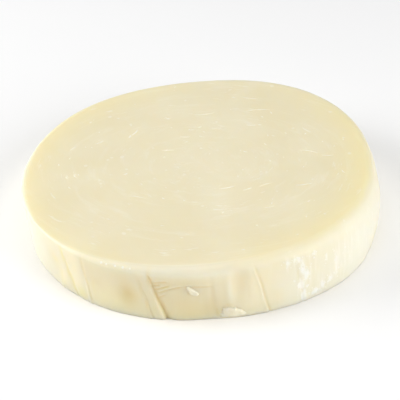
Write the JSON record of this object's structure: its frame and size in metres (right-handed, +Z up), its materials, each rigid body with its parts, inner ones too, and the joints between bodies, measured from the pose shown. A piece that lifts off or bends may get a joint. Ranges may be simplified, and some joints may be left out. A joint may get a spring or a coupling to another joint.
{
  "type": "shaving soap puck",
  "caption": "Bare round puck of hard shaving soap, cut slightly wedge-shaped, with creased wall, softened rim and loose bits of soap stuck to it.",
  "frame": {"origin": "middle of the footprint on the resting face", "axes": "+X towards the thicker side of the cake, +Z up through the cut top face, -Y is the creased front of the wall"},
  "size_m": [0.0716, 0.0688, 0.0128],
  "materials": {
    "soap": "smooth waxy cream soap, faintly translucent, satin",
    "soap_scrap": "thin torn cream soap, dull",
    "soap_crumb": "dried pale soap crumb, dull"
  },
  "bodies": {
    "root": {"soap_cake": "soap", "wall_chip": "soap_scrap", "foot_flake": "soap_scrap", "wall_crumbs": "soap_crumb", "rim_crumbs": "soap_crumb"}
  },
  "joints": []
}
